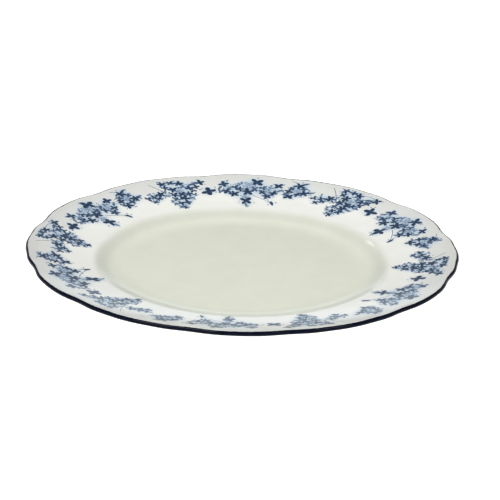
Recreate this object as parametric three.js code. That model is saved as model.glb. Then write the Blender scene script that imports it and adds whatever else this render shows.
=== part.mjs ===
// A round china serving platter: a flat well, a cavetto, a wide marly and a lobed lip.
// The lip carries a painted edge band, the marly a printed border of six repeats with five
// motifs each, and the underside an unglazed foot ring.
// Millimetres, +Z up. The origin lies on the resting plane under the centre.

import * as THREE from 'three';

// ---- Driving dimensions ----

const DIAMETER = 360;
const RIM_HEIGHT = 24;
const MARLY_WIDTH = 58.5;
const MARLY_DROP = 11.2;
const MARLY_FLARE = 0.35;
const CAVETTO_WIDTH = 29.5;
const CAVETTO_DROP = 5.6;
const CAVETTO_POWER = 2.2;
const WALL = 4.2;
const BASE_THICKNESS = 4.2;

// Lip: a half round as thick as the wall, with a shallow rebate that seats the edge band.
const LIP_RADIUS = WALL / 2;
const BAND_THICKNESS = 0.4;
const SEAT_GAP = 0.3;
const BAND_TOP_ANGLE = 62;
const BAND_LOW_ANGLE = -78;
const REBATE_MARGIN = 8;

// Lobed outline: twelve lobes in a pattern that repeats every 60 degrees. Each notch parts a
// broad lobe from a narrow one, and each broad lobe has a small dip on both sides of its middle.
const LOBE_REPEAT = 60;
const NOTCH = { depth: 0.015, at: 16.9, width: 5.2 };
const DIP = { depth: 0.0045, at: 6.9, width: 3.7 };
const LOBE_RISE = 0.15;

// Foot ring: a low wall under the middle of the cavetto.
const FOOT_RADIUS = 106;
const FOOT_TOP_WIDTH = 5.2;
const FOOT_FACE_WIDTH = 3.2;
const UNDERSIDE_Z = RIM_HEIGHT - MARLY_DROP - CAVETTO_DROP - BASE_THICKNESS;

// Printed border: the angle where each hand-laid repeat starts, how far it slipped outwards there,
// and where its motifs sit as a share of the way to the next. The pace is how many millimetres of
// print fill one radian of the rim.
const REPEATS = [
  { start: 54.4, slip: 0 },
  { start: 111.2, slip: -2 },
  { start: 169.1, slip: 0 },
  { start: 226.9, slip: -6 },
  { start: 290.9, slip: -4 },
  { start: 354.1, slip: -3 },
];
const MOTIF_PLACES = { bunch: 0, leaves: 0.162, posy: 0.33, spray: 0.6, single: 0.84 };
const PRINT_PACE = 152;
const PRINT_THICKNESS = 0.4;
const PRINT_LIFT = 0.4;
const PRINT_STEP = 2.1;

// Fineness of the facets: round the platter, and across the cavetto and the marly.
const SEGMENTS = 96;
const THIRDS = [0, 1 / 3, 2 / 3];

// ---- Outline and height of the platter's surface ----

const CREST_RADIUS = DIAMETER / 2;
const VERGE_RADIUS = CREST_RADIUS - MARLY_WIDTH;
const WELL_RADIUS = VERGE_RADIUS - CAVETTO_WIDTH;
const VERGE_Z = RIM_HEIGHT - MARLY_DROP;
const WELL_Z = VERGE_Z - CAVETTO_DROP;

const toRadians = THREE.MathUtils.degToRad;

function bump(distance, shape) {
  return shape.depth * Math.exp(-(((distance - shape.at) / shape.width) ** 2));
}

// How far the lobed lip reaches at an angle, as a share of the plain circle.
function lobeReach(angle) {
  const degrees = THREE.MathUtils.radToDeg(angle);
  const half = LOBE_REPEAT / 2;
  const fromBroadLobe = Math.abs(THREE.MathUtils.euclideanModulo(degrees + half, LOBE_REPEAT) - half);
  return 1 - bump(fromBroadLobe, NOTCH) - bump(fromBroadLobe, DIP);
}

// A point on a ring. `lobed` runs from 0 on a plain circle to 1 at the lip.
function ringPoint(ring, angle) {
  const swell = ring.radius * ring.lobed * (lobeReach(angle) - 1);
  const radius = ring.radius + swell;
  return new THREE.Vector3(radius * Math.cos(angle), radius * Math.sin(angle), ring.z + LOBE_RISE * swell);
}

// The upper face of the marly: `t` runs from 0 at the verge to 1 at the crest of the lip, and the
// lobes fade towards the verge.
function marlyRing(t, drop = 0) {
  return {
    radius: THREE.MathUtils.lerp(VERGE_RADIUS, CREST_RADIUS - LIP_RADIUS, t),
    z: VERGE_Z + MARLY_DROP * ((1 - MARLY_FLARE) * t + MARLY_FLARE * t * t) - drop,
    lobed: t * t,
  };
}

// A ring round the half-round lip, at an angle above the horizontal in its section.
function lipRing(sectionAngle, inset = 0) {
  const reach = LIP_RADIUS - inset;
  return {
    radius: CREST_RADIUS - LIP_RADIUS + reach * Math.cos(toRadians(sectionAngle)),
    z: RIM_HEIGHT - LIP_RADIUS + reach * Math.sin(toRadians(sectionAngle)),
    lobed: 1,
  };
}

function plainRing(radius, z) {
  return { radius, z, lobed: 0 };
}

// ---- Closed meshes from loops of points ----

function loopFaces(near, far, size) {
  const faces = [];
  for (let step = 0; step < size; step += 1) {
    const next = (step + 1) % size;
    faces.push(near + step, far + step, far + next);
    faces.push(near + step, far + next, near + next);
  }
  return faces;
}

function capFaces(tip, start, size, facesBack) {
  const faces = [];
  for (let step = 0; step < size; step += 1) {
    const next = (step + 1) % size;
    faces.push(tip, start + (facesBack ? step : next), start + (facesBack ? next : step));
  }
  return faces;
}

// One closed body through equal loops of points. With `tips`, a point closes each end of the row
// of loops; without, the last loop joins the first.
function loftGeometry(loops, tips = []) {
  const size = loops[0].length;
  const lastStart = (loops.length - 1) * size;
  const faces = [];
  for (let start = 0; start < lastStart; start += size) {
    faces.push(...loopFaces(start, start + size, size));
  }
  if (tips.length === 0) {
    faces.push(...loopFaces(lastStart, 0, size));
  } else {
    faces.push(...capFaces(lastStart + size, 0, size, true));
    faces.push(...capFaces(lastStart + size + 1, lastStart, size, false));
  }
  const geometry = new THREE.BufferGeometry().setFromPoints([...loops.flat(), ...tips]);
  geometry.setIndex(faces);
  geometry.computeVertexNormals();
  return geometry;
}

function ringLoop(ring) {
  return Array.from({ length: SEGMENTS }, (_, step) => ringPoint(ring, (2 * Math.PI * step) / SEGMENTS));
}

// ---- Body, edge band and foot ring ----

// The cavetto leaves the floor level and steepens up to the verge.
function cavettoRing(share) {
  const rise = share ** CAVETTO_POWER;
  return plainRing(WELL_RADIUS + CAVETTO_WIDTH * share, WELL_Z + CAVETTO_DROP * rise);
}

function bodyGeometry() {
  const rebate = BAND_THICKNESS + SEAT_GAP;
  const rings = [
    ...THIRDS.map(cavettoRing),
    ...THIRDS.map((t) => marlyRing(t)),
    marlyRing(1),
    lipRing(BAND_TOP_ANGLE + REBATE_MARGIN),
    lipRing(BAND_TOP_ANGLE + REBATE_MARGIN, rebate),
    lipRing(0, rebate),
    lipRing(BAND_LOW_ANGLE - REBATE_MARGIN, rebate),
    lipRing(BAND_LOW_ANGLE - REBATE_MARGIN),
    ...THIRDS.toReversed().map((t) => marlyRing(t, WALL)),
    plainRing(VERGE_RADIUS - CAVETTO_WIDTH / 3, (VERGE_Z - WALL + UNDERSIDE_Z) / 2),
    plainRing(FOOT_RADIUS + FOOT_TOP_WIDTH / 2, UNDERSIDE_Z),
  ];
  const tips = [new THREE.Vector3(0, 0, WELL_Z), new THREE.Vector3(0, 0, UNDERSIDE_Z)];
  return loftGeometry(rings.map(ringLoop), tips);
}

function bandGeometry() {
  const angles = [BAND_TOP_ANGLE, 0, BAND_LOW_ANGLE];
  const outside = angles.map((angle) => lipRing(angle));
  const inside = angles.map((angle) => lipRing(angle, BAND_THICKNESS)).reverse();
  return loftGeometry([...outside, ...inside].map(ringLoop));
}

function footGeometry() {
  const top = UNDERSIDE_Z - SEAT_GAP;
  const rings = [
    plainRing(FOOT_RADIUS + FOOT_TOP_WIDTH / 2, top),
    plainRing(FOOT_RADIUS + FOOT_FACE_WIDTH / 2, 0),
    plainRing(FOOT_RADIUS - FOOT_FACE_WIDTH / 2, 0),
    plainRing(FOOT_RADIUS - FOOT_TOP_WIDTH / 2, top),
  ];
  return loftGeometry(rings.map(ringLoop));
}

// ---- Printed motifs ----
// Each motif is the outline round a cluster of florets: [along the rim, out from the verge, radius].

const LEAVES = [
  [-5, 34.5, 5],
  [0, 30.5, 5],
  [4, 27, 4.2],
  [7.5, 31, 3.6],
];

const POSY = [
  [-9, 36, 4.3],
  [-4, 38, 6.5],
  [1.5, 45, 5.5],
  [4, 28.5, 5.5],
  [7.5, 35.5, 4.8],
];

const SPRAY = [
  [-24, 43, 4.5],
  [-20, 35, 6],
  [-14, 29, 8],
  [-4, 44, 6],
  [0, 32, 9],
  [3, 16, 6],
  [11, 35, 8],
  [17, 31, 7],
  [22.5, 41.5, 4.6],
];

const SINGLE = [
  [-2.8, 30.2, 3],
  [-2.8, 35.8, 3],
  [0, 33, 4],
  [2.8, 30.2, 3],
  [2.8, 35.8, 3],
];

// A triangular bunch: rows of florets that shorten towards the verge and lean to one side.
function bunchFlorets() {
  const rows = 5;
  const across = 7.2;
  const down = 9;
  const lean = 2;
  const topRow = 47.5;
  const radius = 4.2;
  const florets = [];
  for (let row = 0; row < rows; row += 1) {
    const count = rows - row;
    for (let place = 0; place < count; place += 1) {
      const along = (place - count / 2) * across + row * lean;
      florets.push([along, topRow - row * down, radius]);
    }
  }
  return florets;
}

const MOTIFS = {
  bunch: bunchFlorets(),
  leaves: LEAVES,
  posy: POSY,
  spray: SPRAY,
  single: SINGLE,
};

// The reach of a motif towards the verge and the lip, at one place along the rim.
function motifSpan(florets, place) {
  const spans = florets
    .filter(([along, , radius]) => Math.abs(place - along) < radius)
    .map(([along, out, radius]) => [out, Math.sqrt(radius ** 2 - (place - along) ** 2)]);
  const low = Math.min(...spans.map(([out, half]) => out - half));
  const high = Math.max(...spans.map(([out, half]) => out + half));
  return { low, high };
}

// A point over the marly, `along` the rim from an angle, `out` from the verge and `lift` above.
function marlyPoint(centreAngle, along, out, lift) {
  const ring = marlyRing(out / (MARLY_WIDTH - LIP_RADIUS), -lift);
  return ringPoint(ring, centreAngle + along / PRINT_PACE);
}

// A thin patch that lies on the marly within the outline of a motif.
function motifGeometry(florets, centreAngle, slip) {
  const start = Math.min(...florets.map(([along, , radius]) => along - radius));
  const end = Math.max(...florets.map(([along, , radius]) => along + radius));
  const columns = Math.round((end - start) / PRINT_STEP);
  const loops = [];
  const middles = [];
  for (let column = 0; column < columns; column += 1) {
    const place = THREE.MathUtils.lerp(start, end, (column + 0.5) / columns);
    const { low, high } = motifSpan(florets, place);
    const middle = (low + high) / 2;
    const at = (out, lift) => marlyPoint(centreAngle, place, out + slip, lift);
    const face = (outs, lift) => outs.map((out) => at(out, lift));
    const upper = face([high, middle, low], PRINT_LIFT + PRINT_THICKNESS);
    const lower = face([low, middle, high], PRINT_LIFT);
    loops.push([...upper, ...lower]);
    middles.push(at(middle, PRINT_LIFT + PRINT_THICKNESS / 2));
  }
  return loftGeometry(loops, [middles[0], middles.at(-1)]);
}

// ---- Assembly ----

const LOOKS = {
  glaze: { color: '#e8e6da', roughness: 0.12, metalness: 0 },
  cobaltBand: { color: '#141c33', roughness: 0.15, metalness: 0 },
  biscuit: { color: '#d9d2c2', roughness: 0.85, metalness: 0 },
  cobaltPrint: { color: '#2b3f63', roughness: 0.15, metalness: 0 },
};

function addPart(group, name, geometry, look) {
  const mesh = new THREE.Mesh(geometry, new THREE.MeshStandardMaterial(look));
  mesh.name = name;
  group.add(mesh);
}

function addBorder(group) {
  REPEATS.forEach(({ start, slip }, index) => {
    const following = REPEATS[(index + 1) % REPEATS.length];
    const span = THREE.MathUtils.euclideanModulo(following.start - start, 360);
    for (const [motif, place] of Object.entries(MOTIF_PLACES)) {
      const centreAngle = toRadians(start + place * span);
      const slipHere = THREE.MathUtils.lerp(slip, following.slip, place);
      const geometry = motifGeometry(MOTIFS[motif], centreAngle, slipHere);
      addPart(group, `print_${index + 1}_${motif}`, geometry, LOOKS.cobaltPrint);
    }
  });
}

const platter = new THREE.Group();
addPart(platter, 'platter_body', bodyGeometry(), LOOKS.glaze);
addPart(platter, 'edge_band', bandGeometry(), LOOKS.cobaltBand);
addPart(platter, 'foot_ring', footGeometry(), LOOKS.biscuit);
addBorder(platter);

export default platter;
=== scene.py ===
"""A round china serving platter with a lobed edge and a printed border, in metres.

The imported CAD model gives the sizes. Fine meshes stand for its faceted pieces: the glazed body,
the edge band, the foot ring and thirty printed motifs.
"""

import math
import random

import bpy
import numpy as np
from mathutils import Matrix, Vector


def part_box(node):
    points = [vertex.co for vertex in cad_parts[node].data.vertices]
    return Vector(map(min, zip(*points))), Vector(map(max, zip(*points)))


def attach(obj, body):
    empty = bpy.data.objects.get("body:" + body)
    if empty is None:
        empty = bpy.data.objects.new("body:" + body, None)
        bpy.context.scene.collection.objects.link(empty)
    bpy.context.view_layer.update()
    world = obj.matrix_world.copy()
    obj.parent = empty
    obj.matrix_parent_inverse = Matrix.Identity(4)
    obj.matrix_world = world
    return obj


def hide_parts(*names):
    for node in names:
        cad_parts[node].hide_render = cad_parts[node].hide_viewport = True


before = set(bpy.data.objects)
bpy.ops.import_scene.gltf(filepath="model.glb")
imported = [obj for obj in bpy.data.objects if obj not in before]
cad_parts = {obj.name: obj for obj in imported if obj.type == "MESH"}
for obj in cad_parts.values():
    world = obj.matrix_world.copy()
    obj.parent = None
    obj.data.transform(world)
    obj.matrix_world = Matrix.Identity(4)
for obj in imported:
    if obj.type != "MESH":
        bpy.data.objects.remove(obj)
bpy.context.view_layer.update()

MM = 0.001

# ---- Sizes, from the frame where it has them ----

BODY_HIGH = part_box("platter_body")[1]
BAND_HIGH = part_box("edge_band")[1]
FOOT_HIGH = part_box("foot_ring")[1]

CREST = BAND_HIGH.y
RIM_HEIGHT = BODY_HIGH.z
MARLY_WIDTH = 58.5 * MM
MARLY_DROP = 11.2 * MM
MARLY_FLARE = 0.35
CAVETTO_WIDTH = 29.5 * MM
CAVETTO_DROP = 5.6 * MM
CAVETTO_POWER = 2.2
WELL_SAG = 0.25 * MM
WALL = 4.2 * MM
LIP_RADIUS = WALL / 2
UNDERSIDE_Z = 3.0 * MM

VERGE = CREST - MARLY_WIDTH
WELL = VERGE - CAVETTO_WIDTH
VERGE_Z = RIM_HEIGHT - MARLY_DROP
WELL_Z = VERGE_Z - CAVETTO_DROP
FOOT_OUTER = FOOT_HIGH.x
FOOT_WIDTH = 5.2 * MM
FOOT_FACE_WIDTH = 3.2 * MM

# Lobed outline: the pattern repeats every 60 degrees; lengths are shares, places are degrees.
LOBE_REPEAT = 60
NOTCH_DEPTH, NOTCH_AT, NOTCH_WIDTH = 0.015, 16.9, 5.2
DIP_DEPTH, DIP_AT, DIP_WIDTH = 0.0045, 6.9, 3.7
LOBE_RISE = 0.15

# Where the rings of each stretch of the section lie: shares of the stretch, or degrees round the lip.
SEGMENTS = 720
WELL_SHARES = np.linspace(0.08, 1, 12)
CAVETTO_SHARES = np.linspace(0, 1, 25)[1:-1]
MARLY_SHARES = np.linspace(0.012, 0.97, 28)
LIP_DEGREES = np.linspace(104, -90, 18)
MARLY_BACK_SHARES = np.linspace(0.97, 0.04, 14)
CAVETTO_BACK_SHARES = np.linspace(0, 1, 12)[1:]
BASE_BACK_SHARES = (0.96, 0.9, 0.6, 0.3)

# Underside: how far out the cavetto's back starts and ends, and how steeply it starts.
VERGE_BACK_OUT = 1.2 * MM
FOOT_BACK_OUT = 0.6 * MM
VERGE_BACK_SLOPE = -1.0 * MM

# ---- The platter's surface ----


def lobe_reach(angles):
    """The lobed lip's reach at each angle, as a share of the plain circle."""
    half = LOBE_REPEAT / 2
    from_broad = np.abs((np.degrees(angles) + half) % LOBE_REPEAT - half)
    notch = NOTCH_DEPTH * np.exp(-(((from_broad - NOTCH_AT) / NOTCH_WIDTH) ** 2))
    dip = DIP_DEPTH * np.exp(-(((from_broad - DIP_AT) / DIP_WIDTH) ** 2))
    return 1 - notch - dip


def ring(angles, radius, z, lobed=0.0):
    """Points of a ring; lobed runs from 0 on a plain circle to 1 at the lip."""
    swell = radius * lobed * (lobe_reach(angles) - 1)
    reach = radius + swell
    return np.stack([reach * np.cos(angles), reach * np.sin(angles), z + LOBE_RISE * swell], axis=-1)


def marly(t, angles, lift=0.0):
    """The marly's upper face: t is 0 at the verge and 1 at the crest of the lip."""
    radius = VERGE + (CREST - LIP_RADIUS - VERGE) * t
    z = VERGE_Z + MARLY_DROP * ((1 - MARLY_FLARE) * t + MARLY_FLARE * t * t) + lift
    return ring(angles, radius, z, t * t)


def lip(section_degrees, angles, radius=LIP_RADIUS):
    """A ring round the half-round lip, at an angle above the horizontal in its section."""
    section = np.radians(section_degrees)
    reach = CREST - LIP_RADIUS + radius * np.cos(section)
    z = RIM_HEIGHT - LIP_RADIUS + radius * np.sin(section)
    return ring(angles, reach, z, 1.0)


def hermite(share, start, end, start_slope, end_slope):
    """A smooth rise from start to end whose slopes match its neighbours."""
    cube = share ** 3
    square = share ** 2
    return (
        start * (2 * cube - 3 * square + 1)
        + end * (3 * square - 2 * cube)
        + start_slope * (cube - 2 * square + share)
        + end_slope * (cube - square)
    )


# ---- Meshes ----


def new_piece(name, points, faces, nodes, values=None):
    """A mesh object that rides on the platter and stands for the named CAD nodes."""
    mesh = bpy.data.meshes.new(name)
    mesh.from_pydata([tuple(point) for point in points], [], faces)
    mesh.polygons.foreach_set("use_smooth", [True] * len(mesh.polygons))
    if values is not None:
        layer = mesh.attributes.new("ink", "FLOAT", "POINT")
        layer.data.foreach_set("value", np.asarray(values, dtype=np.float32))
    mesh.update()
    piece = bpy.data.objects.new(name, mesh)
    bpy.context.scene.collection.objects.link(piece)
    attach(piece, "root")
    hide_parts(*nodes)
    return piece


def ring_faces(near, far, size):
    return [
        (near + step, far + step, far + (step + 1) % size, near + (step + 1) % size)
        for step in range(size)
    ]


def loft(rings, tips=None):
    """Points and faces of a closed body through equal rings.

    With tips, a point closes each end of the row; without, the last ring joins the first.
    """
    size = len(rings[0])
    last = (len(rings) - 1) * size
    points = list(np.concatenate(rings))
    faces = []
    for start in range(0, last, size):
        faces += ring_faces(start, start + size, size)
    if tips is None:
        faces += ring_faces(last, 0, size)
    else:
        points += list(tips)
        top, bottom = last + size, last + size + 1
        for step in range(size):
            after = (step + 1) % size
            faces.append((top, step, after))
            faces.append((bottom, last + after, last + step))
    return points, faces


ANGLES = np.linspace(0, 2 * math.pi, SEGMENTS, endpoint=False)


def well_rings():
    rings = []
    for share in WELL_SHARES:
        rings.append(ring(ANGLES, WELL * share, WELL_Z - WELL_SAG * (1 - share ** 2)))
    return rings


def cavetto_rings():
    """The cavetto leaves the floor almost level and steepens up to the verge."""
    floor_rise = WELL_SAG * 2 * CAVETTO_WIDTH / WELL
    rings = []
    for share in CAVETTO_SHARES:
        z = WELL_Z + floor_rise * share * (1 - share) + CAVETTO_DROP * share ** CAVETTO_POWER
        rings.append(ring(ANGLES, WELL + CAVETTO_WIDTH * share, z))
    return rings


def marly_rings():
    return [marly(t, ANGLES) for t in MARLY_SHARES]


def underside_rings():
    marly_back = [marly(t, ANGLES, -WALL) for t in MARLY_BACK_SHARES]
    back_z = VERGE_Z - WALL
    base = FOOT_OUTER + FOOT_BACK_OUT
    top = VERGE + VERGE_BACK_OUT
    cavetto_back = []
    for share in CAVETTO_BACK_SHARES:
        z = hermite(share, back_z, UNDERSIDE_Z, VERGE_BACK_SLOPE, 0)
        cavetto_back.append(ring(ANGLES, top + (base - top) * share, z))
    floor = [ring(ANGLES, base * share, UNDERSIDE_Z) for share in BASE_BACK_SHARES]
    return marly_back + cavetto_back + floor


def make_body():
    lips = [lip(np.full(SEGMENTS, degrees), ANGLES) for degrees in LIP_DEGREES]
    rings = well_rings() + cavetto_rings() + marly_rings() + lips + underside_rings()
    tips = [(0, 0, WELL_Z - WELL_SAG), (0, 0, UNDERSIDE_Z)]
    points, faces = loft(rings, tips)
    return new_piece("china_body", points, faces, ["platter_body"])


# Edge band: its edges are degrees round the lip. A wobble is a seed and a size in degrees.
BAND_PROUD = 0.03 * MM
BAND_SUNK = 0.3 * MM
BAND_TOP = 98
BAND_DRIFT = 19
BAND_LOW = -74
TOP_WOBBLE = (3, 5)
LOW_WOBBLE = (8, 4)
WOBBLE_WAVES = (5, 9, 14, 23, 37)
BAND_SHARES = np.linspace(0, 1, 26)
BAND_INNER_STRIDE = 3
BAND_FADE = 0.11


def hand_wobble(angles, seed, size):
    """A slow uneven line, as a brush leaves it."""
    draw = random.Random(seed)
    line = np.zeros_like(angles)
    for waves in WOBBLE_WAVES:
        line += np.sin(waves * angles + draw.uniform(0, 2 * math.pi)) / math.sqrt(waves)
    return size * line


def make_band():
    """The painted band on the lip's outer face; at the back it drifts up and thins over the crest."""
    top = BAND_TOP + BAND_DRIFT * np.sin(ANGLES) + hand_wobble(ANGLES, *TOP_WOBBLE)
    low = BAND_LOW + hand_wobble(ANGLES, *LOW_WOBBLE)
    inner_shares = BAND_SHARES[::-BAND_INNER_STRIDE]
    outer = [lip(top + (low - top) * share, ANGLES, LIP_RADIUS + BAND_PROUD) for share in BAND_SHARES]
    inner = [lip(top + (low - top) * share, ANGLES, LIP_RADIUS - BAND_SUNK) for share in inner_shares]
    points, faces = loft(outer + inner)
    fade = np.clip(BAND_SHARES / BAND_FADE, 0, 1)
    inks = np.repeat(np.concatenate([fade, np.ones(len(inner))]), SEGMENTS)
    return new_piece("edge_band_paint", points, faces, ["edge_band"], inks)


FOOT_LET_IN = 0.6 * MM
FOOT_CORNER = 0.5 * MM
FOOT_FILLET_OUT = 1.0 * MM
FOOT_FILLET_DOWN = 0.5 * MM
FOOT_CORNER_TURNS = np.linspace(0.3, math.pi / 2, 6)


def make_foot():
    """The foot ring, with rounded corners and its top let into the body."""
    middle = FOOT_OUTER - FOOT_WIDTH / 2
    half_top = FOOT_WIDTH / 2
    half_face = FOOT_FACE_WIDTH / 2
    section = [
        (half_top + FOOT_FILLET_OUT, UNDERSIDE_Z + FOOT_LET_IN),
        (half_top, UNDERSIDE_Z - FOOT_FILLET_DOWN),
        (half_face + FOOT_CORNER, 2 * FOOT_CORNER),
    ]
    section += [
        (half_face - FOOT_CORNER + 2 * FOOT_CORNER * math.cos(turn), FOOT_CORNER * (1 - math.sin(turn)))
        for turn in FOOT_CORNER_TURNS
    ]
    section += [(0.0, 0.0)]
    section += [(-out, z) for out, z in section[-2::-1]]
    rings = [ring(ANGLES, middle + out, z) for out, z in section]
    points, faces = loft(rings)
    return new_piece("foot_ring_bare", points, faces, ["foot_ring"])


# ---- Printed motifs ----
# A floret is (along the rim, out from the verge, radius, petals, tone) in millimetres. One petal
# makes it a leaf. Tone is how much colour the print carries, and under OUTLINED the floret has a
# dark outline and a pale middle.

BUNCH = [
    (12, 50, 3.8, 5, 1.0), (5, 50, 3.4, 4, 0.9), (-1.5, 48.5, 4.2, 5, 1.0), (-19, 48.5, 4.4, 4, 1.0),
    (-12.5, 46, 3.4, 1, 0.8), (11.5, 44, 3.2, 4, 0.9), (-3.5, 42.5, 3.2, 3, 0.7), (6, 39.5, 4.8, 5, 1.0),
    (-8.5, 40, 4.0, 4, 0.9), (-14.5, 41.5, 3.6, 4, 0.9), (-11, 35.5, 3.4, 3, 0.9), (13.5, 38, 2.8, 1, 0.6),
    (0.5, 37, 3.4, 4, 0.45), (0, 31.5, 4.0, 4, 1.0), (-5.5, 31, 4.0, 5, 0.9), (7.5, 31.5, 4.4, 5, 1.0),
    (-11, 29.5, 2.8, 3, 0.7), (12, 31, 2.6, 3, 0.45), (0.5, 24.5, 5.2, 5, 1.0), (8.5, 24.5, 3.4, 4, 0.8),
    (-5.5, 24, 3.2, 1, 0.7), (13.5, 21, 1.8, 1, 0.9), (12, 17, 2.2, 3, 0.7), (6.5, 17.5, 3.6, 4, 1.0),
    (-0.5, 17.5, 4.2, 4, 0.9), (3.5, 13.5, 2.6, 3, 0.45), (9, 11.5, 2.6, 3, 0.8), (5, 9.5, 3.2, 4, 1.0),
]
LEAVES = [
    (-5.5, 34.5, 4.8, 5, 1.0), (-9, 31.5, 2.4, 1, 0.7), (1.5, 31.5, 3.6, 4, 0.9), (-1.5, 28, 3.2, 4, 0.9),
    (8, 31, 3.6, 3, 0.9), (4, 24.5, 3.2, 4, 0.9), (3.5, 36.5, 1.6, 1, 0.6),
]
POSY = [
    (0.5, 46.5, 5.0, 5, 1.0), (-3, 49.5, 2.8, 1, 0.9), (-4, 42.5, 3.4, 4, 0.8), (5.5, 41.5, 3.4, 4, 0.8),
    (7, 36.5, 4.0, 4, 1.0), (0.5, 38, 3.4, 5, 0.45), (-6.5, 35.5, 4.6, 5, 1.0), (-11.5, 37.5, 3.0, 1, 0.8),
    (-1.5, 32.5, 4.0, 4, 0.9), (5.5, 28, 5.0, 4, 1.0), (9.5, 31.5, 2.8, 3, 0.7),
]
SPRAY = [
    (-5, 46, 6.2, 4, 1.0), (1, 41.5, 5.4, 5, 0.4), (1.5, 31, 5.8, 5, 1.0), (-4, 35.5, 4.0, 4, 0.8),
    (8.5, 34.5, 3.8, 4, 0.9), (3, 15.5, 6.4, 4, 1.0), (2.5, 8.5, 3.2, 1, 0.6), (3.5, 23, 3.4, 3, 0.45),
    (14, 27, 5.0, 5, 1.0), (20, 31.5, 4.6, 4, 0.9), (12.5, 38, 3.6, 3, 0.9), (17.5, 36.5, 2.8, 3, 0.6),
    (22, 43, 4.6, 4, 0.9), (25.5, 37.5, 3.2, 1, 0.7), (26, 31.5, 2.8, 3, 0.7), (8.5, 42.5, 2.8, 3, 0.6),
    (-11, 31.5, 4.0, 4, 0.9), (-16, 25, 4.8, 5, 0.9), (-15.5, 33.5, 3.8, 5, 0.45), (-21, 31, 4.2, 4, 1.0),
    (-11, 38, 3.4, 3, 0.8), (-17.5, 38.5, 3.0, 3, 0.6), (-23.5, 43.5, 4.6, 4, 1.0),
    (-25.5, 36, 3.0, 1, 0.7), (-22.5, 14, 3.4, 1, 1.0),
]
SINGLE = [(0, 33, 6.6, 4, 1.0)]

# Curled stems that run clear of the florets: points the stem passes near.
TENDRILS = {
    "bunch": [(13, 34), (18, 44), (23, 51)],
    "posy": [(1, 48), (4, 53), (8, 53)],
    "spray": [(-3, 25), (-12, 21), (-21, 14)],
}

MOTIFS = {"bunch": BUNCH, "leaves": LEAVES, "posy": POSY, "spray": SPRAY, "single": SINGLE}
MOTIF_PLACES = {"bunch": 0.0, "leaves": 0.162, "posy": 0.33, "spray": 0.6, "single": 0.84}

# Where each hand-laid repeat starts, in degrees, and how far it slipped outwards there, in
# millimetres. The pace is how much print fills one radian of the rim.
REPEATS = [(54.4, 0), (111.2, -2), (169.1, 0), (226.9, -6), (290.9, -4), (354.1, -3)]
PRINT_PACE = 152 * MM

# Heights over the glaze in millimetres, lowest first. Each kind of motif lies a sheet step higher
# than the one before, and each petal of a floret a petal step, so that no two flakes coincide.
SUNK = -0.05
WASH_LIFT = 0.02
SPRIG_LIFT = 0.03
STEM_LIFT = 0.04
BERRY_LIFT = 0.05
PETAL_LIFT = 0.06
HEART_LIFT = 0.08
SHEET_STEP = 0.006
PETAL_STEP = 0.003

# Shapes. Pairs are the ends of a random range; sizes are shares of a floret's radius unless the
# name says otherwise, and swings are radians.
OUTLINED = 0.5
PETAL_REACH = (0.5, 0.6)
PETAL_LENGTH = (0.42, 0.52)
PETAL_WIDTH = (0.8, 1.0)
PETAL_CROWD = 3.3
PETAL_SWING = 0.2
PETAL_POINT = 0.12
HEART_RADIUS = 0.3
LEAF_WIDTH = 0.45
LEAF_SWING = 0.15
LEAF_POINT = 0.35
SPRIGS = 3
SPRIG_REACH = (0.95, 1.4)
SPRIG_SIZE_MM = (0.4, 0.75)
SPRIG_LEAN = 0.6
STEM_WIDTH_MM = 0.55
STEM_BOW = 0.18
STEM_POINTS = 5
TENDRIL_WIDTHS_MM = np.linspace(0.7, 0.45, 9)
FLAKE_INNER = 0.6

# Colour that each flake carries at its rim, its inner ring and its centre. The shares multiply the
# floret's tone, and the heart's multiply the colour at the petals' centres.
PETAL_INK_SHARES = (0.62, 0.9, 1.0)
LEAF_INK_SHARES = (0.8, 0.95, 0.7)
HEART_INK_SHARES = (1.0, 1.0, 0.75)
PALE_PETAL_INKS = (0.75, 0.32, 0.45)
BERRY_INKS = (0.6, 0.8, 0.8)
SPRIG_INKS = (0.4, 0.62, 0.5)
STEM_INK = 0.6
TENDRIL_INK = 0.65

# The wash's cells and its limits over the marly are in millimetres; its reach is in radii.
WASH_CELL = 1.5
WASH_REACH = 1.5
WASH_COVER = 0.8
WASH_EDGE = 0.12
WASH_INK = 0.33
PRINT_BOTTOM, PRINT_TOP = 6.5, 54
SPRIG_TOP = PRINT_TOP - 1

CREASE = math.radians(40)


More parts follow.
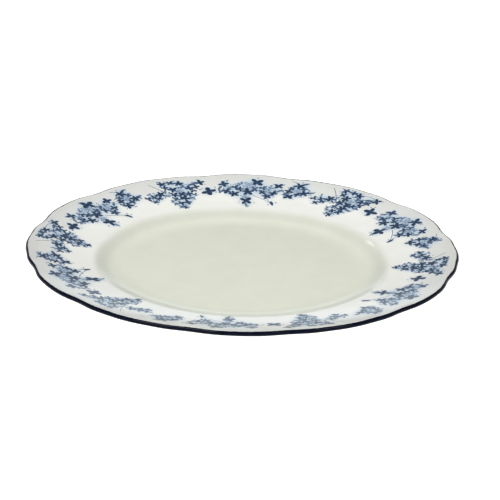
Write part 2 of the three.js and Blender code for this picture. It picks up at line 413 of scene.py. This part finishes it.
class Print:
    """Flakes of colour in the flat space of a motif: (along, out, lift) in millimetres."""

    def __init__(self):
        self.points = []
        self.faces = []
        self.inks = []

    def add_points(self, points, lift, ink):
        start = len(self.points)
        self.points += [(along, out, lift) for along, out in points]
        self.inks += [ink] * len(points)
        return start

    def flake(self, outline, centre, lift, inks):
        """A closed flake; inks are those of its rim, its inner ring and its centre."""
        rim_ink, inner_ink, centre_ink = inks
        size = len(outline)
        inner = [
            (centre[0] + FLAKE_INNER * (along - centre[0]), centre[1] + FLAKE_INNER * (out - centre[1]))
            for along, out in outline
        ]
        sunk = self.add_points(outline, SUNK, rim_ink)
        rim = self.add_points(outline, lift, rim_ink)
        ring_start = self.add_points(inner, lift, inner_ink)
        tip = self.add_points([centre], lift, centre_ink)
        self.faces += ring_faces(sunk, rim, size)
        self.faces += ring_faces(rim, ring_start, size)
        self.faces += [(ring_start + step, tip, ring_start + (step + 1) % size) for step in range(size)]
        self.faces.append(tuple(sunk + step for step in range(size)))

    def oval(self, centre, half_length, half_width, turn, lift, inks, point=0.0, sides=12):
        """An oval flake along a direction; point above 0 draws its far end out to a tip."""
        outline = []
        for step in range(sides):
            around = 2 * math.pi * step / sides
            length = half_length * math.cos(around) * (1 + point * max(0, math.cos(around)) ** 3)
            width = half_width * math.sin(around)
            outline.append((
                centre[0] + length * math.cos(turn) - width * math.sin(turn),
                centre[1] + length * math.sin(turn) + width * math.cos(turn),
            ))
        self.flake(outline, centre, lift, inks)

    def ribbon(self, path, widths, lift, ink):
        """A closed strip along a path."""
        left, right = [], []
        for index, (along, out) in enumerate(path):
            before = path[max(index - 1, 0)]
            after = path[min(index + 1, len(path) - 1)]
            heading = math.atan2(after[1] - before[1], after[0] - before[0])
            across = (math.sin(heading) * widths[index] / 2, -math.cos(heading) * widths[index] / 2)
            left.append((along - across[0], out - across[1]))
            right.append((along + across[0], out + across[1]))
        outline = left + right[::-1]
        size = len(outline)
        rows = len(path)
        sunk = self.add_points(outline, SUNK, ink)
        rim = self.add_points(outline, lift, ink)
        self.faces += [face[::-1] for face in ring_faces(sunk, rim, size)][::-1]
        for row in range(rows - 1):
            other, next_other = size - 1 - row, size - 2 - row
            self.faces.append((rim + row, rim + row + 1, rim + next_other, rim + other))
            self.faces.append((sunk + other, sunk + next_other, sunk + row + 1, sunk + row))


def shaded(ink_shares, tone):
    return tuple(share * tone for share in ink_shares)


def add_petals(sheet, draw, floret):
    along, out, radius, petals, tone = floret
    first = draw.uniform(0, 2 * math.pi)
    inks = PALE_PETAL_INKS if tone < OUTLINED else shaded(PETAL_INK_SHARES, tone)
    for index in range(petals):
        turn = first + 2 * math.pi * index / petals + draw.uniform(-PETAL_SWING, PETAL_SWING)
        reach = radius * draw.uniform(*PETAL_REACH)
        centre = (along + reach * math.cos(turn), out + reach * math.sin(turn))
        length = radius * draw.uniform(*PETAL_LENGTH)
        width = length * min(1.0, PETAL_CROWD / petals) * draw.uniform(*PETAL_WIDTH)
        lift = PETAL_LIFT + PETAL_STEP * index
        sheet.oval(centre, length, width, turn, lift, inks, PETAL_POINT)
    heart = HEART_RADIUS * radius
    heart_inks = shaded(HEART_INK_SHARES, inks[-1])
    sheet.oval((along, out), heart, heart, 0, HEART_LIFT, heart_inks, sides=8)


def add_leaf(sheet, draw, floret, turn):
    along, out, radius, _, tone = floret
    lean = turn + draw.uniform(-LEAF_SWING, LEAF_SWING)
    inks = shaded(LEAF_INK_SHARES, tone)
    sheet.oval((along, out), radius, LEAF_WIDTH * radius, lean, PETAL_LIFT, inks, LEAF_POINT)


def nearest_earlier(florets, index):
    along, out = florets[index][:2]
    return min(florets[:index], key=lambda other: math.hypot(other[0] - along, other[1] - out))


def bent_path(start, end, bend):
    """Points from start to end that bow sideways by a share of the distance."""
    path = []
    for share in np.linspace(0, 1, STEM_POINTS):
        bow = bend * 4 * share * (1 - share)
        path.append((
            start[0] + (end[0] - start[0]) * share - (end[1] - start[1]) * bow,
            start[1] + (end[1] - start[1]) * share + (end[0] - start[0]) * bow,
        ))
    return path


def add_stem(sheet, draw, florets, index):
    near = nearest_earlier(florets, index)
    path = bent_path(near[:2], florets[index][:2], draw.uniform(-STEM_BOW, STEM_BOW))
    sheet.ribbon(path, [STEM_WIDTH_MM] * len(path), STEM_LIFT, STEM_INK)
    return math.atan2(florets[index][1] - near[1], florets[index][0] - near[0])


def add_tendril(sheet, corners):
    """A thin tapering stem along a smooth curve through three corners."""
    start, middle, end = (np.array(corner) for corner in corners)
    path = []
    for share in np.linspace(0, 1, len(TENDRIL_WIDTHS_MM)):
        point = start * (1 - share) ** 2 + middle * 2 * share * (1 - share) + end * share ** 2
        path.append(tuple(point))
    sheet.ribbon(path, TENDRIL_WIDTHS_MM, STEM_LIFT, TENDRIL_INK)


def add_sprigs(sheet, draw, florets):
    """A dark berry and small mid-tone leaves that fill in round each floret."""
    for along, out, radius, _, _ in florets:
        for index in range(SPRIGS):
            turn = draw.uniform(0, 2 * math.pi)
            reach = radius * draw.uniform(*SPRIG_REACH)
            centre = (along + reach * math.cos(turn), min(out + reach * math.sin(turn), SPRIG_TOP))
            size = draw.uniform(*SPRIG_SIZE_MM)
            if index == 0:
                sheet.oval(centre, size, size, 0, BERRY_LIFT, BERRY_INKS, sides=7)
            else:
                lean = turn + draw.uniform(-SPRIG_LEAN, SPRIG_LEAN)
                sheet.oval(centre, 2 * size, size, lean, SPRIG_LIFT, SPRIG_INKS, sides=9)


def add_wash(sheet, florets):
    """A pale wash of colour that fades out round the florets, on a grid of small cells."""
    spots = np.array([floret[:3] for floret in florets])
    pad = 2 * WASH_REACH * spots[:, 2].max()
    low = np.array([spots[:, 0].min() - pad, max(spots[:, 1].min() - pad, PRINT_BOTTOM)])
    high = np.array([spots[:, 0].max() + pad, min(spots[:, 1].max() + pad, PRINT_TOP)])
    columns, rows = np.ceil((high - low) / WASH_CELL).astype(int)
    along = low[0] + WASH_CELL * np.arange(columns + 1)
    out = np.minimum(low[1] + WASH_CELL * np.arange(rows + 1), PRINT_TOP)
    grid = np.stack(np.meshgrid(along, out, indexing="ij"), axis=-1)
    gaps = np.linalg.norm(grid[:, :, None, :] - spots[None, None, :, :2], axis=-1)
    cover = np.exp(-((gaps / (WASH_REACH * spots[:, 2])) ** 2))
    ink = np.clip(1 - np.prod(1 - WASH_COVER * cover, axis=-1) - WASH_EDGE, 0, 1)
    wanted = (ink[:-1, :-1] + ink[1:, :-1] + ink[:-1, 1:] + ink[1:, 1:]) > 0
    top = len(sheet.points)
    for lift in (WASH_LIFT, SUNK):
        sheet.points += [(x, y, lift) for x, y in grid.reshape(-1, 2)]
        sheet.inks += list(WASH_INK * ink.reshape(-1))
    under = (columns + 1) * (rows + 1)

    def corner(column, row):
        return top + column * (rows + 1) + row

    def is_open(column, row):
        inside = 0 <= column < columns and 0 <= row < rows
        return not (inside and wanted[column, row])

    for column, row in zip(*np.nonzero(wanted)):
        loop = [
            corner(column, row),
            corner(column, row + 1),
            corner(column + 1, row + 1),
            corner(column + 1, row),
        ]
        sheet.faces.append(tuple(loop))
        sheet.faces.append(tuple(point + under for point in loop[::-1]))
        neighbours = [(column - 1, row), (column, row + 1), (column + 1, row), (column, row - 1)]
        for side, neighbour in enumerate(neighbours):
            if is_open(*neighbour):
                first, second = loop[side], loop[(side + 1) % 4]
                sheet.faces.append((second, first, first + under, second + under))


def lay_on_marly(points, centre_angle, slip, lift):
    """Maps the flat space of a motif onto the platter, in metres."""
    along, out, height = np.array(points).T * MM
    t = (out + slip) / (MARLY_WIDTH - LIP_RADIUS)
    return marly(t, centre_angle + along / PRINT_PACE, height + lift)


def drop_unused(points, faces, inks):
    used = sorted({index for face in faces for index in face})
    renumber = {old: new for new, old in enumerate(used)}
    kept_faces = [tuple(renumber[index] for index in face) for face in faces]
    return points[used], kept_faces, np.array(inks)[used]


def make_motif(number, motif, centre_angle, slip):
    draw = random.Random(100 * number + len(motif))
    florets = MOTIFS[motif]
    sheet = Print()
    add_wash(sheet, florets)
    for index, floret in enumerate(florets):
        turn = add_stem(sheet, draw, florets, index) if index else 0.0
        if floret[3] > 1:
            add_petals(sheet, draw, floret)
        else:
            add_leaf(sheet, draw, floret, turn)
    if motif in TENDRILS:
        add_tendril(sheet, TENDRILS[motif])
    add_sprigs(sheet, draw, florets)
    lift = list(MOTIFS).index(motif) * SHEET_STEP * MM
    placed = lay_on_marly(sheet.points, centre_angle, slip, lift)
    points, faces, inks = drop_unused(placed, sheet.faces, sheet.inks)
    name = f"ink_{number}_{motif}"
    piece = new_piece(name, points, faces, [f"print_{number}_{motif}"], inks)
    piece.data.set_sharp_from_angle(angle=CREASE)
    return piece


def make_border():
    pieces = []
    for index, (start, slip) in enumerate(REPEATS):
        next_start, next_slip = REPEATS[(index + 1) % len(REPEATS)]
        span = (next_start - start) % 360
        for motif, place in MOTIF_PLACES.items():
            slip_here = (slip + (next_slip - slip) * place) * MM
            pieces.append(make_motif(index + 1, motif, math.radians(start + place * span), slip_here))
    return pieces


# ---- Materials ----


def new_material(name):
    material = bpy.data.materials.new(name)
    material.use_nodes = True
    nodes = material.node_tree.nodes
    return material, nodes, material.node_tree.links, nodes["Principled BSDF"]


def noise(nodes, links, coords, scale, detail=2.0, roughness=0.5):
    node = nodes.new("ShaderNodeTexNoise")
    node.inputs["Scale"].default_value = scale
    node.inputs["Detail"].default_value = detail
    node.inputs["Roughness"].default_value = roughness
    links.new(coords, node.inputs["Vector"])
    return node.outputs["Fac"]


def ramp(nodes, links, value, stops, interpolation="EASE"):
    node = nodes.new("ShaderNodeValToRGB")
    node.color_ramp.interpolation = interpolation
    elements = node.color_ramp.elements
    while len(elements) < len(stops):
        elements.new(0.5)
    for element, (position, color) in zip(elements, stops):
        element.position = position
        element.color = (*color, 1)
    links.new(value, node.inputs["Fac"])
    return node.outputs["Color"]


def feed(links, socket, value):
    """Links another node's output to a socket, or sets the socket to a plain value."""
    if hasattr(value, "is_linked"):
        links.new(value, socket)
    else:
        socket.default_value = value


def mix(nodes, links, factor, first, second, blend="MIX"):
    node = nodes.new("ShaderNodeMix")
    node.data_type = "RGBA"
    node.blend_type = blend
    feed(links, node.inputs["Factor"], factor)
    feed(links, node.inputs["A"], first)
    feed(links, node.inputs["B"], second)
    return node.outputs["Result"]


def maths(nodes, links, operation, first, second):
    node = nodes.new("ShaderNodeMath")
    node.operation = operation
    feed(links, node.inputs[0], first)
    feed(links, node.inputs[1], second)
    return node.outputs["Value"]


def spread(nodes, links, value, low, high, to_low=0.0, to_high=1.0, interpolation="SMOOTHSTEP"):
    node = nodes.new("ShaderNodeMapRange")
    node.interpolation_type = interpolation
    limits = {"From Min": low, "From Max": high, "To Min": to_low, "To Max": to_high}
    for name, limit in limits.items():
        node.inputs[name].default_value = limit
    links.new(value, node.inputs["Value"])
    return node.outputs["Result"]


def bump(nodes, links, height, strength, distance, shader):
    node = nodes.new("ShaderNodeBump")
    node.inputs["Strength"].default_value = strength
    node.inputs["Distance"].default_value = distance
    links.new(height, node.inputs["Height"])
    links.new(node.outputs["Normal"], shader.inputs["Normal"])


def object_coords(nodes):
    return nodes.new("ShaderNodeTexCoord").outputs["Object"]


def distance_out(nodes, links, coords):
    """0 at the middle of the platter and 1 along its lip."""
    scale = nodes.new("ShaderNodeVectorMath")
    scale.operation = "MULTIPLY"
    scale.inputs[1].default_value = (1 / CREST, 1 / CREST, 0)
    links.new(coords, scale.inputs[0])
    length = nodes.new("ShaderNodeVectorMath")
    length.operation = "LENGTH"
    links.new(scale.outputs["Vector"], length.inputs[0])
    return length.outputs["Value"]


# Glaze colours. Only the cream is the glaze's own colour. The other four paint highlight and shade into
# the glaze.
CREAM = (0.745, 0.765, 0.65)
SHADED_CAVETTO = (0.64, 0.66, 0.57)
HIGHLIGHT_WHITE = (0.86, 0.86, 0.82)
SHADED_WHITE = (0.71, 0.715, 0.69)
SHADED_LIP_WHITE = (0.66, 0.665, 0.64)

# Colours by distance out from the middle, as a share of the way to the lip. The well's cream is
# the glaze's own colour. Past it come a painted shade along the steep cavetto under the verge, a painted
# highlight on the inner marly, and painted shade over a faint cobalt tint on the outer marly and the lip.
GLAZE_AND_PAINTED_LIGHT_STOPS = [
    (0.0, CREAM), (0.60, CREAM), (0.655, SHADED_CAVETTO), (0.666, SHADED_CAVETTO), (0.715, HIGHLIGHT_WHITE),
    (0.81, HIGHLIGHT_WHITE), (0.92, SHADED_WHITE), (1.0, SHADED_LIP_WHITE),
]
MOTTLE_STOPS = [(0.3, (0.97, 0.97, 0.96)), (0.7, (1, 1, 1))]
DRIFT_SCALE, DRIFT_SIZE = 14, 0.03
MOTTLE_SCALE = 60

CRACK_SCALE, CRACK_WIDTH = 95, 0.012
CRACK_PATCH_SCALE, CRACK_PATCH_LIMITS = 18, (0.5, 0.68)
CRACK_STAIN = 0.16
STAIN = (0.45, 0.38, 0.28, 1)

WAVE_SCALE, PEEL_SCALE, PEEL_SHARE = 22, 420, 0.02
RELIEF_STRENGTH, RELIEF_DEPTH = 0.35, 0.25 * MM
RUB_SCALE, RUB_LIMITS = 75, (0.35, 0.8)
GLAZE_ROUGHNESS = (0.06, 0.15)


def glaze_color_with_painted_light(nodes, links, coords):
    """Cream in the well, painted shade in the cavetto, white on the marly from a painted highlight, and
    grey-white towards the lip from painted shade.
    """
    drift = noise(nodes, links, coords, DRIFT_SCALE, detail=3)
    distance = distance_out(nodes, links, coords)
    wandering = maths(nodes, links, "ADD", distance, maths(nodes, links, "MULTIPLY", drift, DRIFT_SIZE))
    base = ramp(nodes, links, wandering, GLAZE_AND_PAINTED_LIGHT_STOPS)
    mottle = ramp(nodes, links, noise(nodes, links, coords, MOTTLE_SCALE, detail=4), MOTTLE_STOPS)
    return mix(nodes, links, 1.0, base, mottle, "MULTIPLY")


def crazing(nodes, links, coords):
    """Hair-fine cracks in the glaze, 1 on a crack and 0 away from it."""
    cells = nodes.new("ShaderNodeTexVoronoi")
    cells.feature = "DISTANCE_TO_EDGE"
    cells.inputs["Scale"].default_value = CRACK_SCALE
    links.new(coords, cells.inputs["Vector"])
    line = spread(nodes, links, cells.outputs["Distance"], 0.0, CRACK_WIDTH, 1.0, 0.0)
    patches = noise(nodes, links, coords, CRACK_PATCH_SCALE)
    patchy = spread(nodes, links, patches, *CRACK_PATCH_LIMITS)
    return maths(nodes, links, "MULTIPLY", line, patchy)


def glaze_relief(nodes, links, coords, shader, roughness=GLAZE_ROUGHNESS):
    """Slow waves and fine orange peel in the glaze, with rubbed patches that are less glossy."""
    slow = noise(nodes, links, coords, WAVE_SCALE, detail=1)
    fine = noise(nodes, links, coords, PEEL_SCALE, detail=2)
    height = maths(nodes, links, "ADD", slow, maths(nodes, links, "MULTIPLY", fine, PEEL_SHARE))
    bump(nodes, links, height, RELIEF_STRENGTH, RELIEF_DEPTH, shader)
    rubbed = noise(nodes, links, coords, RUB_SCALE, detail=5, roughness=0.65)
    links.new(spread(nodes, links, rubbed, *RUB_LIMITS, *roughness), shader.inputs["Roughness"])


def glaze_material():
    material, nodes, links, shader = new_material("cream_glaze")
    coords = object_coords(nodes)
    color = glaze_color_with_painted_light(nodes, links, coords)
    stained = maths(nodes, links, "MULTIPLY", crazing(nodes, links, coords), CRACK_STAIN)
    links.new(mix(nodes, links, stained, color, STAIN), shader.inputs["Base Color"])
    glaze_relief(nodes, links, coords, shader)
    return material


PRINT_TONES = [
    (0.0, (0.62, 0.70, 0.76)), (0.3, (0.42, 0.53, 0.65)), (0.55, (0.11, 0.18, 0.29)),
    (0.8, (0.018, 0.048, 0.105)), (1.0, (0.006, 0.025, 0.062)),
]
GRAIN_SCALE, BLOTCH_SCALE = 1300, 260
UNEVENNESS = 0.5
FULL_COVER = 0.34


def ink_value(nodes):
    node = nodes.new("ShaderNodeAttribute")
    node.attribute_name = "ink"
    return node.outputs["Fac"]


def print_material():
    """Cobalt transfer print under the glaze, stippled, fading out into the glaze colour."""
    material, nodes, links, shader = new_material("cobalt_transfer_print")
    coords = object_coords(nodes)
    ink = ink_value(nodes)
    grain = maths(nodes, links, "SUBTRACT", noise(nodes, links, coords, GRAIN_SCALE, detail=2), 0.5)
    blotch = maths(nodes, links, "SUBTRACT", noise(nodes, links, coords, BLOTCH_SCALE, detail=3), 0.5)
    uneven = maths(nodes, links, "ADD", maths(nodes, links, "MULTIPLY", grain, UNEVENNESS),
                   maths(nodes, links, "MULTIPLY", blotch, UNEVENNESS))
    worked = maths(nodes, links, "MULTIPLY", ink, maths(nodes, links, "ADD", uneven, 1.0))
    tone = ramp(nodes, links, worked, PRINT_TONES, "LINEAR")
    cover = spread(nodes, links, worked, 0.0, FULL_COVER)
    # Where the print fades out it takes the glaze colour, painted highlight and shade included.
    color = mix(nodes, links, cover, glaze_color_with_painted_light(nodes, links, coords), tone)
    links.new(color, shader.inputs["Base Color"])
    glaze_relief(nodes, links, coords, shader)
    return material


BAND_TONES = [(0.3, (0.001, 0.002, 0.006)), (0.75, (0.003, 0.005, 0.015))]
BAND_ROUGHNESS = (0.04, 0.12)
BAND_SPECULAR = 0.05
STREAK_SCALE, STREAK_BIAS = 240, 0.62
THIN_LIMITS = (0.12, 0.7)


def band_material():
    """Brushed cobalt, nearly black where it pools and thin where it runs over the crest."""
    material, nodes, links, shader = new_material("cobalt_edge_band")
    coords = object_coords(nodes)
    ink = ink_value(nodes)
    streaks = noise(nodes, links, coords, STREAK_SCALE, detail=4, roughness=0.6)
    thinned = maths(nodes, links, "ADD", ink, maths(nodes, links, "SUBTRACT", streaks, STREAK_BIAS))
    cover = spread(nodes, links, thinned, *THIN_LIMITS)
    paint = ramp(nodes, links, streaks, BAND_TONES)
    # Where the band thins it shows the glaze colour, painted highlight and shade included.
    color = mix(nodes, links, cover, glaze_color_with_painted_light(nodes, links, coords), paint)
    links.new(color, shader.inputs["Base Color"])
    glaze_relief(nodes, links, coords, shader, BAND_ROUGHNESS)
    shader.inputs["Specular IOR Level"].default_value = BAND_SPECULAR
    return material


CLAY_TONES = [(0.3, (0.42, 0.37, 0.30)), (0.7, (0.66, 0.60, 0.50))]
WEAR = (0.28, 0.26, 0.24, 1)
WEAR_SCALE, WEAR_LIMITS, WEAR_SHARES = 45, (0.5, 0.7), (0.0, 0.5)
GRIT_SCALE, GRIT_STRENGTH, GRIT_DEPTH = 900, 0.4, 0.1 * MM
GLAZE_EDGE_SCALE, GLAZE_EDGE_RAGGED = 320, 0.6 * MM
GLAZE_EDGE = (0.25 * MM, 0.45 * MM)
FOOT_ROUGHNESS = (0.85, 0.12)


def foot_material():
    """Glazed walls and a bare, gritty standing face that has picked up grey wear."""
    material, nodes, links, shader = new_material("bare_foot_clay")
    coords = object_coords(nodes)
    parts = nodes.new("ShaderNodeSeparateXYZ")
    links.new(coords, parts.inputs["Vector"])
    wander = noise(nodes, links, coords, GLAZE_EDGE_SCALE, detail=3)
    ragged = maths(nodes, links, "MULTIPLY", wander, GLAZE_EDGE_RAGGED)
    edge = maths(nodes, links, "SUBTRACT", parts.outputs["Z"], ragged)
    glazed = spread(nodes, links, edge, *GLAZE_EDGE)
    grit = noise(nodes, links, coords, GRIT_SCALE, detail=4, roughness=0.7)
    clay = ramp(nodes, links, grit, CLAY_TONES)
    patches = noise(nodes, links, coords, WEAR_SCALE, detail=4)
    worn = spread(nodes, links, patches, *WEAR_LIMITS, *WEAR_SHARES)
    dirty = mix(nodes, links, worn, clay, WEAR)
    links.new(mix(nodes, links, glazed, dirty, (*CREAM, 1)), shader.inputs["Base Color"])
    links.new(spread(nodes, links, glazed, 0.0, 1.0, *FOOT_ROUGHNESS), shader.inputs["Roughness"])
    bump(nodes, links, grit, GRIT_STRENGTH, GRIT_DEPTH, shader)
    return material


FLOOR_TONES = [(0.3, (0.9, 0.9, 0.9)), (0.7, (0.93, 0.93, 0.93))]
FLOOR_SCALE = 6
FLOOR_ROUGHNESS = 0.9
FLOOR_SHADOW_FILL_GLOW = 0.55


def floor_material():
    """A pale table that glows a little though it is no lamp. The glow is painted light that lightens the
    platter's shadow.
    """
    material, nodes, links, shader = new_material("pale_floor")
    coords = object_coords(nodes)
    color = ramp(nodes, links, noise(nodes, links, coords, FLOOR_SCALE, detail=3), FLOOR_TONES)
    links.new(color, shader.inputs["Base Color"])
    shader.inputs["Roughness"].default_value = FLOOR_ROUGHNESS
    shader.inputs["Specular IOR Level"].default_value = 0.0
    # The glow is painted light. It lightens the platter's cast shadow on the floor.
    shader.inputs["Emission Color"].default_value = (1, 1, 1, 1)
    shader.inputs["Emission Strength"].default_value = FLOOR_SHADOW_FILL_GLOW
    return material


# ---- Floor, lights and camera ----

FLOOR_HALF = 6.0


def make_floor():
    mesh = bpy.data.meshes.new("floor")
    corners = [(-1, -1), (1, -1), (1, 1), (-1, 1)]
    mesh.from_pydata([(x * FLOOR_HALF, y * FLOOR_HALF, 0) for x, y in corners], [], [(0, 1, 2, 3)])
    floor = bpy.data.objects.new("floor", mesh)
    bpy.context.scene.collection.objects.link(floor)
    mesh.materials.append(floor_material())


def aim(obj, place, target, roll=0.0):
    """Puts an object at a place, its -Z axis towards the target, turned by roll about that axis."""
    back = (Vector(place) - Vector(target)).normalized()
    right = Vector((0, 0, 1)).cross(back).normalized()
    up = back.cross(right)
    turned_right = right * math.cos(roll) + up * math.sin(roll)
    turned_up = up * math.cos(roll) - right * math.sin(roll)
    axes = Matrix((turned_right, turned_up, back)).transposed()
    obj.matrix_world = Matrix.Translation(place) @ axes.to_4x4()


# Each softbox is its name, its place and its size in metres, and its power in watts.
SOFTBOXES = [
    ("key_front_left", (-1.3, -1.6, 2.1), (1.4, 1.1), 74),
    ("fill_front_right", (1.6, -1.3, 1.7), (0.9, 0.9), 25),
    ("back_left_small", (-0.50, 1.59, 1.09), (0.22, 0.12), 0.22),
]


def softbox(name, place, size, power):
    light = bpy.data.lights.new(name, "AREA")
    light.shape = "RECTANGLE"
    light.size, light.size_y = size
    light.energy = power
    lamp = bpy.data.objects.new(name, light)
    bpy.context.scene.collection.objects.link(lamp)
    aim(lamp, place, (0, 0, 0))


def make_lights():
    for name, place, size, power in SOFTBOXES:
        softbox(name, place, size, power)


# The studio's brightness by height, from straight down at 0 through the horizon at 0.5 to 1 overhead.
STUDIO_STOPS = [
    (0.0, (0.3, 0.3, 0.3)), (0.46, (0.4, 0.4, 0.4)), (0.5, (0.84, 0.92, 0.95)),
    (0.55, (0.8, 0.88, 0.91)), (0.64, (0.26, 0.26, 0.26)), (1.0, (0.24, 0.24, 0.24)),
]
STUDIO_STRENGTH = 1.0


def make_world():
    """A studio that is bright round the horizon, and dimmer overhead and below."""
    world = bpy.data.worlds.new("studio")
    bpy.context.scene.world = world
    world.use_nodes = True
    nodes, links = world.node_tree.nodes, world.node_tree.links
    coords = nodes.new("ShaderNodeTexCoord").outputs["Generated"]
    parts = nodes.new("ShaderNodeSeparateXYZ")
    links.new(coords, parts.inputs["Vector"])
    height = spread(nodes, links, parts.outputs["Z"], -1.0, 1.0, interpolation="LINEAR")
    background = nodes["Background"]
    links.new(ramp(nodes, links, height, STUDIO_STOPS), background.inputs["Color"])
    background.inputs["Strength"].default_value = STUDIO_STRENGTH


CAMERA_DISTANCE = 2.6
CAMERA_ELEVATION = math.radians(21.4)
CAMERA_AZIMUTH = math.radians(0.26)
CAMERA_ROLL = math.radians(1.59)
CAMERA_LENS = 225.4
CAMERA_SENSOR = 36
CAMERA_OFFSET = (6.4 * MM, -1.7 * MM)


def make_camera():
    data = bpy.data.cameras.new("camera")
    data.lens = CAMERA_LENS
    data.sensor_width = CAMERA_SENSOR
    camera = bpy.data.objects.new("camera", data)
    bpy.context.scene.collection.objects.link(camera)
    flat = math.cos(CAMERA_ELEVATION)
    rise = math.sin(CAMERA_ELEVATION)
    back = Vector((math.sin(CAMERA_AZIMUTH) * flat, -math.cos(CAMERA_AZIMUTH) * flat, rise))
    right = Vector((0, 0, 1)).cross(back).normalized()
    up = back.cross(right)
    target = Vector((0, 0, RIM_HEIGHT)) + right * CAMERA_OFFSET[0] + up * CAMERA_OFFSET[1]
    aim(camera, target + back * CAMERA_DISTANCE, target, CAMERA_ROLL)
    bpy.context.scene.camera = camera


# ---- Assembly ----


def dress(piece, material):
    piece.data.materials.append(material)


make_camera()
make_lights()
make_world()
make_floor()
dress(make_body(), glaze_material())
dress(make_band(), band_material())
dress(make_foot(), foot_material())
printed = print_material()
for motif_piece in make_border():
    dress(motif_piece, printed)

scene = bpy.context.scene
scene.view_settings.view_transform = "Standard"
